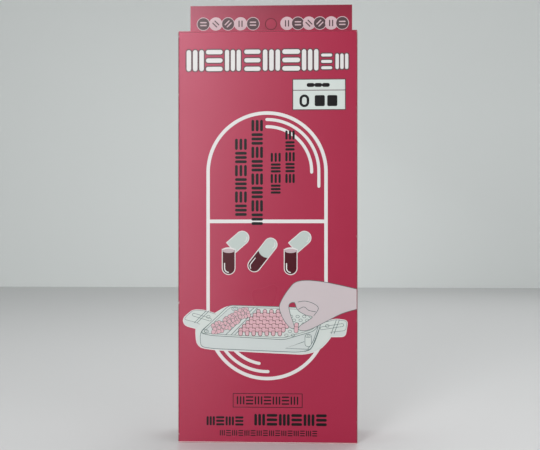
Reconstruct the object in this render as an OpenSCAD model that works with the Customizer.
// Boxed capsule filler: a hanging retail carton, closed, with a hand filler for hard capsules in it.
// Millimetres, +Z up. The origin is on the ground under the middle of the closed carton.
// The filler is drawn lying flat in its own frame and is then stood on end inside the carton.

/* [Carton] */
// Thickness of the carton board
board_t = 0.5; // [0.4:0.05:0.7]
// Outside radius of the upright creases
crease_r = 0.9; // [0.8:0.1:1.5]
// Free width between the filler and each side wall
side_room = 6.5; // [5:0.5:14]
// Free height between the filler and the closed lid
head_room = 28.8; // [28:0.2:60]
// Free depth in front of the filler, for its lifted frame, the leaflet and the spreader
front_room = 18.1; // [17:0.1:30]
// Gap between a flap and the next piece of board
crease_gap = 0.15; // [0.1:0.05:0.2]
// Length of the tuck on the lid
tuck_l = 12; // [8:1:14]
// Lean of the tuck away from the back wall, in degrees
tuck_lean = 9; // [9:1:14]
// Length of the two dust flaps under the lid
dust_l = 28; // [20:1:32]

/* [Hanging header] */
// Height of the header above the carton
header_h = 27; // [22:1:40]
// How much narrower the header is than the carton, at each side
header_inset = 2; // [1:0.5:8]
// Diameter of the hanging hole
hang_d = 8; // [5:0.5:10]
// Height of the hanging hole above the carton
hang_z = 13.8; // [10:0.1:17]
// Width of the cut around the disc that still fills the hole
hang_cut = 0.3; // [0.2:0.05:0.5]

/* [Capsule] */
// Outside diameter of a capsule body
body_d = 7.34; // [4.9:0.01:9.6]
// Thickness of a cap's wall
cap_wall = 0.14; // [0.12:0.01:0.2]
// Length of a capsule body
body_l = 18.4; // [14:0.1:22]
// Length of a cap
cap_l = 10.8; // [8:0.1:13]
// Length of a closed capsule
closed_l = 21.7; // [17:0.1:26]

/* [Hole plate] */
// Rows of holes across the filler
rows = 6; // [4:1:8]
// Columns of holes along the filler
cols = 9; // [6:1:10]
// Distance between hole centres
pitch = 10.8; // [10:0.1:13]
// Clearance between a hole and a capsule body, on the radius
hole_clear = 0.1; // [0.05:0.01:0.1]
// Thickness of the hole plate
plate_t = 2.5; // [1.5:0.1:4]
// Holes left empty at the end of the front row
empty_holes = 2; // [0:1:5]

/* [Lifting frame] */
// Thickness of the frame's walls
frame_wall = 2; // [1.5:0.1:3]
// Space between the outer rows of holes and the frame's side walls
side_margin = 9.6; // [8:0.1:16]
// Inside length of the hopper
hopper_l = 40; // [32:1:70]
// Width of the bar between the hopper and the hole plate
bar_w = 5; // [4:0.5:8]
// Length of the ledge beyond the hole plate
end_l = 14; // [14:0.5:20]
// Height of the frame's rim above the hole plate
rim_h = 13.4; // [11.2:0.1:16]
// Size of the two cut corners beyond the hole plate
corner_cut = 16; // [14:1:18]
// Size of the two cut corners at the hopper
hopper_cut = 5; // [5:0.5:7]

/* [Base] */
// Thickness of the base's floor and walls
base_t = 2; // [1.6:0.1:3]
// Gap between the frame and the base's wall
dish_gap = 3; // [2.5:0.5:6]
// Width of the flange around the base
flange_w = 5; // [3:0.5:8]
// Height of the base's wall, from the underside of its floor
dish_h = 7.5; // [6:0.5:8]
// Inside radius of the base's corners
dish_r = 16; // [15:1:20]
// Length of each handle lug
lug_l = 30; // [28:1:40]
// Width of each handle lug
lug_w = 40; // [34:1:44]
// Height of the rubber feet
foot_h = 1.5; // [1:0.1:2]
// Diameter of the rubber feet
foot_d = 12; // [8:1:16]
// Thickness of the mat that the capsules stand in
mat_t = 1; // [0.8:0.1:1.2]
// Diameter of the corner posts
post_d = 7; // [5:0.5:7.5]

/* [Slide rods] */
// Travel of each slide rod
rod_travel = 10; // [8:0.5:10]
// Rise of the frame for each millimetre of rod travel
rod_slope = 0.8; // [0.6:0.05:0.8]
// Width of a slide rod
rod_w = 10; // [8:0.5:14]
// Height of a slide rod
rod_h = 3.4; // [3:0.1:3.6]
// Diameter of the knobs
knob_d = 7; // [6:0.5:8]
// Height of the knobs above the rods
knob_h = 6; // [4:0.5:8]

/* [Hidden] */
$fn = 64;

// Heights in the filler, from the ground that it stands on when it lies flat
floor_top = foot_h + base_t;
mat_top = floor_top + mat_t;
capsule_z = floor_top + 0.2;
plate_top = capsule_z + closed_l - cap_l;
plate_z = plate_top - plate_t;
rim_top = plate_top + rim_h;
dish_top = foot_h + dish_h;
rod_z = mat_top + 0.4;
rod_top = rod_z + rod_h;
keeper_z = rod_top + 0.3;
keeper_t = 1.8;
capsule_top = capsule_z + closed_l;

// Lengths along the filler: x is its length, the hopper is at the low end
hole_r = body_d / 2 + hole_clear;
cap_r = body_d / 2 + 0.01 + cap_wall;
frame_l = 2 * frame_wall + hopper_l + bar_w + cols * pitch + end_l;
frame_w = rows * pitch + 2 * (side_margin + frame_wall);
frame_x0 = -frame_l / 2;
frame_x1 = frame_l / 2;
bar_x = frame_x0 + frame_wall + hopper_l;
grid_x = bar_x + bar_w;
grid_x1 = grid_x + cols * pitch;
dish_l = frame_l + 2 * (dish_gap + base_t + flange_w);
dish_w = frame_w + 2 * (dish_gap + base_t + 0.6 * flange_w);
filler_l = dish_l + 2 * lug_l;
post_x = frame_x1 - 5;
post_y = frame_w / 2 - 4.5;
hopper_post_x = frame_x0 + frame_wall + 6;
hopper_post_y = frame_w / 2 - frame_wall - 6;
post_top = rim_top + 1;
running = 0.08;
floor_t = 2;
side_clear = 0.3;
tuck_clear = 0.03;

// Wedge on the inner end of each rod, and the ramp above it on the frame
ramp_l = 3;
ramp_x1 = frame_x1 - frame_wall - 1;
wedge_x = ramp_x1 - ramp_l - 1;
wedge_l = rod_travel + ramp_l + 1;
wedge_tip = 0.4;
ramp_gap = 0.25;
knob_x = frame_x1 + 15.5;
rod_end = filler_l / 2 - 3;

// Carton
inner_w = dish_w + 2 * side_room;
inner_d = rim_top + front_room + 0.4;
floor_stack = 3 * board_t;
carton_w = inner_w + 2 * board_t;
carton_d = inner_d + 3 * board_t;
filler_z = floor_stack + 0.5;
carton_h = filler_z + filler_l + head_room;
front_y = -carton_d / 2;
back_y = carton_d / 2 - 2 * board_t;
filler_y = back_y - 0.4;
lid_reach = back_y - front_y - 0.85;
header_top = carton_h + header_h;

pink = [0.68, 0.26, 0.34];
board_white = [0.93, 0.92, 0.89];
moulding = [0.82, 0.86, 0.84];
moulding_dark = [0.62, 0.68, 0.66];
steel = [0.75, 0.76, 0.78];

// Rounded rectangle made of two bars and four discs
module round_rect(l, w, r) {
    square([l - 2 * r, w], center = true);
    square([l, w - 2 * r], center = true);
    for (x = [-1, 1], y = [-1, 1])
        translate([x * (l / 2 - r), y * (w / 2 - r)]) circle(r);
}

// Ring between two rounded rectangles, one wall thick
module round_ring(l, w, r, wall, h) {
    linear_extrude(h) difference() {
        round_rect(l, w, r);
        round_rect(l - 2 * wall, w - 2 * wall, r - wall);
    }
}

// Rectangle from x0 to x1 with corners cut: c at the plate end and c0 at the hopper end
module cut_rect(x0, x1, half_w, c, c0) {
    polygon([[x0, -half_w + c0], [x0 + c0, -half_w], [x1 - c, -half_w], [x1, -half_w + c],
        [x1, half_w - c], [x1 - c, half_w], [x0 + c0, half_w], [x0, half_w - c0]]);
}

// Upright sheet across the carton, from y to y + t, drawn from its outline in x and z
module upright_sheet(y, t) {
    translate([0, y + t, 0]) rotate([90, 0, 0]) linear_extrude(t) children();
}

// The filler's own frame stood on end: its length runs up and its plate faces the front
module stand() {
    translate([0, filler_y, filler_z + filler_l / 2]) rotate([0, -90, 90]) children();
}

// Each hole of the plate, and each hole that has a capsule in it
module at_holes(skip = 0) {
    for (i = [0 : cols - 1], j = [0 : rows - 1])
        if (j > 0 || i < cols - skip)
            translate([grid_x + pitch * (i + 0.5), pitch * (j + 0.5 - rows / 2), 0]) children();
}

// Copies for the plate end and the hopper end
module both_ends() {
    children();
    mirror([1, 0, 0]) children();
}

// ---- carton ----

module carton_sleeve() {
    side_top = carton_h - 2 * board_t - 3 * crease_gap - 0.2;
    wall_top = carton_h - board_t - crease_gap;
    color(pink) difference() {
        translate([0, -board_t / 2, 0]) round_ring(carton_w, carton_d - board_t, crease_r, board_t, wall_top);
        translate([0, front_y + carton_d / 2, side_top + 5])
            cube([carton_w + 2, carton_d - 4 * board_t, 10], center = true);
        translate([-carton_w, -carton_d, -1]) cube([2 * carton_w, 2 * carton_d, 1 + board_t + crease_gap]);
    }
}

module glue_flap() {
    flap_w = 14;
    color(board_white) translate([-carton_w / 2 + board_t, back_y - 1 - flap_w, floor_stack + 0.5])
        cube([board_t, flap_w, carton_h - floor_stack - 8]);
}

// Outline of the header, with the punched hole
module header_outline(z0, cut_r) {
    difference() {
        union() {
            translate([-carton_w / 2 + header_inset, z0])
                square([carton_w - 2 * header_inset, header_top - z0]);
            if (z0 < carton_h)
                translate([-carton_w / 2, z0]) square([carton_w, carton_h - z0]);
        }
        translate([0, carton_h + hang_z]) circle(cut_r);
    }
}

module hang_panel() {
    color(pink) upright_sheet(carton_d / 2 - board_t, board_t)
        header_outline(board_t + crease_gap, hang_d / 2);
}

module header_front_ply() {
    color(pink) upright_sheet(back_y, board_t) header_outline(carton_h - board_t - crease_gap, hang_d / 2);
}

module hang_disc() {
    nick_w = 0.5;
    color(pink) upright_sheet(back_y, 2 * board_t) translate([0, carton_h + hang_z]) {
        circle(hang_d / 2 - hang_cut);
        for (a = [45, 135, 225, 315])
            rotate(a) translate([hang_d / 2 - hang_cut - 0.1, -nick_w / 2])
                square([hang_cut + 0.09, nick_w]);
    }
}

module bottom_outer_flap() {
    color(pink) translate([-carton_w / 2 + crease_gap, front_y, 0])
        cube([carton_w - 2 * crease_gap, carton_d - board_t, board_t]);
}

module bottom_inner_flap() {
    color(board_white) translate([-inner_w / 2 + 1, back_y - 35, board_t])
        cube([inner_w - 2, 34.6, board_t]);
}

module bottom_dust_flap(side) {
    color(board_white) mirror([side < 0 ? 0 : 1, 0, 0])
        translate([-inner_w / 2 + 0.3, 0, 2 * board_t]) linear_extrude(board_t)
            polygon([[0, front_y + 1.5], [dust_l, front_y + 8], [dust_l, back_y - 6], [0, back_y - 1]]);
}

module bottom_dust_flap_left() { bottom_dust_flap(-1); }

module bottom_dust_flap_right() { bottom_dust_flap(1); }

module top_lid() {
    color(pink) translate([-carton_w / 2 + 2 * crease_gap, front_y, carton_h - board_t])
        cube([carton_w - 4 * crease_gap, lid_reach, board_t]);
}

module tuck_flap() {
    half = inner_w / 2 - 2;
    corner = tuck_l / 2;
    drop = board_t + board_t * sin(tuck_lean) + tuck_clear;
    color(pink) translate([0, front_y + lid_reach, carton_h - drop]) rotate([-tuck_lean, 0, 0])
        translate([0, 0, -tuck_l]) rotate([90, 0, 0]) linear_extrude(board_t) {
            translate([-half, corner]) square([2 * half, tuck_l - corner]);
            translate([-half + corner, 0]) square([2 * (half - corner), corner + 0.5]);
            for (s = [-1, 1]) translate([s * (half - corner), corner]) circle(corner);
        }
}

module dust_flap(side) {
    near = 1.5 - crease_gap;
    reach = back_y - front_y;
    color(pink) mirror([side < 0 ? 0 : 1, 0, 0])
        translate([-carton_w / 2, front_y, carton_h - 2 * board_t - 0.2]) linear_extrude(board_t)
            polygon([[0, near], [dust_l, near + dust_l + 0.3], [dust_l, reach - 5], [1, reach - 2.5],
                [0, reach - 2.5]]);
}

module dust_flap_left() { dust_flap(-1); }

module dust_flap_right() { dust_flap(1); }

module instruction_leaflet() {
    sheet_w = 105;
    sheet_h = 148;
    fold_t = 1.2;
    color([0.96, 0.95, 0.92]) translate([-sheet_w / 2, front_y + board_t + 0.4, floor_stack + 0.3])
        cube([sheet_w, fold_t, sheet_h]);
}

module powder_spreader() {
    card_w = 84;
    card_h = 46;
    card_t = 1.5;
    color(moulding) upright_sheet(front_y + board_t + 2.4, card_t)
        translate([0, floor_stack + 0.3 + card_h / 2]) difference() {
            round_rect(card_w, card_h, 6);
            translate([0, card_h / 4]) circle(5);
        }
}

// ---- base of the filler ----

// One handle lug, at the plate end
module lug() {
    inner_x = dish_l / 2 - flange_w - base_t / 2;
    outer_x = filler_l / 2;
    r = 8;
    translate([0, 0, foot_h]) linear_extrude(keeper_z - foot_h - 0.1) {
        translate([inner_x, -lug_w / 2]) square([outer_x - r - inner_x, lug_w]);
        translate([inner_x, -lug_w / 2 + r]) square([outer_x - inner_x, lug_w - 2 * r]);
        for (s = [-1, 1]) translate([outer_x - r, s * (lug_w / 2 - r)]) circle(r);
    }
}

module base_tray() {
    groove_w = rod_w + 2 * side_clear;
    groove_x = frame_x1 + dish_gap - 1;
    color(moulding) difference() {
        union() {
            translate([0, 0, foot_h]) linear_extrude(base_t)
                round_rect(dish_l - 2 * flange_w, dish_w - 1.2 * flange_w, dish_r + base_t);
            translate([0, 0, foot_h])
                round_ring(dish_l - 2 * flange_w, dish_w - 1.2 * flange_w, dish_r + base_t, base_t, dish_h);
            translate([0, 0, dish_top - 1.5]) linear_extrude(1.5) difference() {
                round_rect(dish_l, dish_w, dish_r + base_t + 0.6 * flange_w);
                round_rect(dish_l - 2 * flange_w - 2, dish_w - 1.2 * flange_w - 2, dish_r + base_t - 1);
            }
            both_ends() lug();
        }
        both_ends() translate([groove_x, -groove_w / 2, rod_z - 0.3])
            cube([filler_l, groove_w, keeper_z]);
        for (s = [-1, 1]) {
            translate([post_x, s * post_y, 0]) cylinder(d = post_d - 2, h = floor_top + 1);
            translate([hopper_post_x, s * hopper_post_y, 0]) cylinder(d = post_d - 2, h = floor_top + 1);
        }
        both_ends() at_keeper_screws() translate([0, 0, keeper_z - 4]) cylinder(d = 2.2, h = 5);
    }
}

module at_keeper_screws() {
    for (s = [-1, 1]) translate([filler_l / 2 - 14, s * (rod_w / 2 + 5), 0]) children();
}

module rod_keepers() {
    color(moulding_dark) both_ends() difference() {
        translate([filler_l / 2 - 17, -lug_w / 2 + 3, keeper_z - 0.1]) cube([6, lug_w - 6, keeper_t]);
        at_keeper_screws() translate([0, 0, keeper_z - 1]) cylinder(d = 2.3, h = keeper_t + 2);
    }
}

module keeper_screws() {
    color(steel) both_ends() at_keeper_screws() difference() {
        union() {
            translate([0, 0, keeper_z - 3.5]) cylinder(d = 2.18, h = keeper_t + 3.5);
            translate([0, 0, keeper_z - 0.1 + keeper_t]) cylinder(d = 4.2, h = 0.7);
        }
        translate([-1.5, -0.3, keeper_z + keeper_t + 0.25]) cube([3, 0.6, 1]);
        translate([-0.3, -1.5, keeper_z + keeper_t + 0.25]) cube([0.6, 3, 1]);
    }
}

module seat_mat() {
    color([0.55, 0.6, 0.6]) difference() {
        translate([grid_x, -rows * pitch / 2 - 1, floor_top])
            cube([cols * pitch - 1.2, rows * pitch + 2, mat_t]);
        at_holes() translate([0, 0, floor_top - 1]) cylinder(d = body_d + 0.5, h = mat_t + 2);
    }
}

module corner_post() {
    translate([0, 0, foot_h + 0.3]) cylinder(d = post_d - 2.05, h = base_t);
    translate([0, 0, floor_top]) difference() {
        cylinder(d = post_d, h = post_top - floor_top);
        translate([0, 0, post_top - floor_top - 6]) cylinder(d = 3, h = 7);
    }
}

module corner_posts() {
    color(moulding_dark) for (s = [-1, 1]) {
        translate([post_x, s * post_y, 0]) corner_post();
        translate([hopper_post_x, s * hopper_post_y, 0]) corner_post();
    }
}

module rubber_feet() {
    color([0.25, 0.26, 0.27])
        for (x = [-1, 1], y = [-1, 1])
            translate([x * (frame_x1 - 22), y * (frame_w / 2 - 10), 0]) cylinder(d = foot_d, h = foot_h);
}

// ---- slide rods ----

module slide_rod() {
    end_r = rod_w / 2;
    translate([0, rod_w / 2, 0]) rotate([90, 0, 0]) linear_extrude(rod_w) polygon([
        [wedge_x, rod_z], [rod_end - end_r, rod_z], [rod_end - end_r, rod_top],
        [wedge_x + wedge_l, rod_top], [wedge_x + wedge_l, rod_z + wedge_tip + wedge_l * rod_slope],
        [wedge_x, rod_z + wedge_tip]]);
    translate([rod_end - end_r, 0, rod_z]) cylinder(r = end_r, h = rod_h);
}

module knob() {
    translate([knob_x, 0, rod_top]) {
        cylinder(d = knob_d - 2, h = knob_h - 3);
        translate([0, 0, knob_h - 3]) cylinder(d = knob_d, h = 2);
        translate([0, 0, knob_h - 1]) cylinder(d1 = knob_d, d2 = knob_d - 2, h = 1, $fn = 64);
    }
}

module hopper_slide_rod() { color(moulding_dark) mirror([1, 0, 0]) slide_rod(); }

module plate_slide_rod() { color(moulding_dark) slide_rod(); }

module hopper_knob() { color(moulding) mirror([1, 0, 0]) knob(); }

module plate_knob() { color(moulding) knob(); }

// ---- lifting frame ----

// Outline of the frame, drawn in by a distance on every side
module frame_outline(inset) {
    slant = inset * (2 - sqrt(2));
    cut_rect(frame_x0 + inset, frame_x1 - inset, frame_w / 2 - inset, corner_cut - slant, hopper_cut - slant);
}

// Block under the frame that rides up the wedge
module ramp() {
    under = rod_z + wedge_tip + ramp_gap;
    translate([0, rod_w / 2 - 0.5, 0]) rotate([90, 0, 0]) linear_extrude(rod_w - 1) polygon([
        [ramp_x1 - ramp_l, under + rod_slope], [ramp_x1, under + rod_slope * (1 + ramp_l)],
        [ramp_x1, plate_z + 0.5], [ramp_x1 - ramp_l, plate_z + 0.5]]);
}

module frame_tray() {
    bottom = floor_top + 0.6;
    inner_half = frame_w / 2 - frame_wall;
    ledge_w = 5;
    notch_top = rod_z + wedge_tip + ramp_gap + 8 * rod_slope;
    color(moulding) difference() {
        union() {
            translate([0, 0, bottom]) linear_extrude(rim_top - bottom) difference() {
                frame_outline(0);
                frame_outline(frame_wall);
            }
            translate([0, 0, plate_z]) linear_extrude(floor_t) difference() {
                frame_outline(frame_wall / 2);
                translate([grid_x, -frame_w]) square([cols * pitch, 2 * frame_w]);
            }
            for (y = [inner_half - ledge_w, -inner_half - 1])
                translate([grid_x - 1, y, plate_z - 1.5]) cube([cols * pitch + 2, ledge_w + 1, 1.5]);
            both_ends() ramp();
        }
        both_ends() translate([frame_x1 - frame_wall - 0.9, -rod_w / 2 - side_clear, 0])
            cube([frame_wall + 2, rod_w + 2 * side_clear, notch_top]);
        for (s = [-1, 1]) translate([hopper_post_x, s * hopper_post_y, plate_z - 1])
            cylinder(d = post_d + 2 * running, h = 4);
        at_plate_screws() translate([0, 0, plate_z - 5]) cylinder(d = 2.2, h = 6);
    }
}

module at_plate_screws() {
    for (x = [grid_x + 4, grid_x1 - 4], s = [-1, 1])
        translate([x, s * (frame_w / 2 - frame_wall - 2.6), 0]) children();
}

module hole_plate() {
    color(moulding) difference() {
        translate([0, 0, plate_z]) linear_extrude(plate_t) intersection() {
            frame_outline(frame_wall + 0.2);
            translate([grid_x + 0.1, -frame_w]) square([cols * pitch - 0.2, 2 * frame_w]);
        }
        at_holes() translate([0, 0, plate_z - 1]) cylinder(r = hole_r, h = plate_t + 2);
        at_plate_screws() translate([0, 0, plate_z - 1]) cylinder(d = 2.4, h = plate_t + 2);
    }
}

module plate_screws() {
    color(steel) at_plate_screws() difference() {
        union() {
            translate([0, 0, plate_z - 1.5]) cylinder(d = 2.18, h = plate_t + 1.5);
            translate([0, 0, plate_top]) cylinder(d = 4.2, h = 0.9);
        }
        translate([-1.5, -0.3, plate_top + 0.45]) cube([3, 0.6, 1]);
        translate([-0.3, -1.5, plate_top + 0.45]) cube([0.6, 3, 1]);
    }
}

// Raised bar with a groove along its top
module divider_bar() {
    bar_half = frame_w / 2 - frame_wall - 0.2;
    bar_h = rim_h * 0.45;
    color(moulding_dark) difference() {
        translate([bar_x, -bar_half, plate_z + floor_t]) cube([bar_w - 0.1, 2 * bar_half, bar_h]);
        translate([bar_x + 1.5, -bar_half - 1, plate_z + floor_t - 1 + bar_h])
            cube([bar_w - 3.1, 2 * bar_half + 2, 3]);
    }
}

// Curved strip beyond the hole plate, which keeps powder on it
module end_strip() {
    strip_half = frame_w / 2 - frame_wall - corner_cut + 5;
    strip_x = grid_x1 + 0.1;
    bow_r = 110;
    color(moulding_dark) translate([0, 0, plate_z + floor_t]) linear_extrude(3.5) intersection() {
        translate([strip_x, -strip_half]) square([end_l - 4, 2 * strip_half]);
        difference() {
            translate([strip_x + end_l - 5 - bow_r, 0]) circle(bow_r, $fn = 200);
            translate([strip_x + end_l - 8 - bow_r, 0]) circle(bow_r, $fn = 200);
        }
    }
}

// ---- capsules ----

module capsule_body() {
    r = body_d / 2;
    rim = 1;
    translate([0, 0, capsule_z + r]) sphere(r);
    translate([0, 0, capsule_z + r]) cylinder(r = r, h = body_l - r - rim);
    translate([0, 0, capsule_z + body_l - rim]) cylinder(r1 = r, r2 = r - 0.12, h = rim);
}

module capsule_cap() {
    edge_z = capsule_z + closed_l - cap_l;
    inner_r = cap_r - cap_wall;
    dome_z = capsule_top - cap_r;
    difference() {
        union() {
            translate([0, 0, edge_z]) cylinder(r = cap_r, h = dome_z - edge_z);
            translate([0, 0, dome_z]) sphere(cap_r);
        }
        translate([0, 0, edge_z - 1]) cylinder(r = inner_r, h = dome_z - edge_z + 1);
        translate([0, 0, dome_z]) sphere(inner_r);
        translate([0, 0, edge_z - 10]) cylinder(r = cap_r + 1, h = 10);
    }
}

module capsule_bodies() { color([0.45, 0.1, 0.18]) at_holes(empty_holes) capsule_body(); }

module capsule_caps() { color([0.9, 0.9, 0.88]) at_holes(empty_holes) capsule_cap(); }

carton_sleeve();
glue_flap();
hang_panel();
header_front_ply();
hang_disc();
bottom_outer_flap();
bottom_inner_flap();
bottom_dust_flap_left();
bottom_dust_flap_right();
top_lid();
tuck_flap();
dust_flap_left();
dust_flap_right();
instruction_leaflet();
powder_spreader();
stand() base_tray();
stand() rod_keepers();
stand() keeper_screws();
stand() seat_mat();
stand() corner_posts();
stand() rubber_feet();
stand() hopper_slide_rod();
stand() hopper_knob();
stand() plate_slide_rod();
stand() plate_knob();
stand() frame_tray();
stand() hole_plate();
stand() divider_bar();
stand() end_strip();
stand() plate_screws();
stand() capsule_bodies();
stand() capsule_caps();
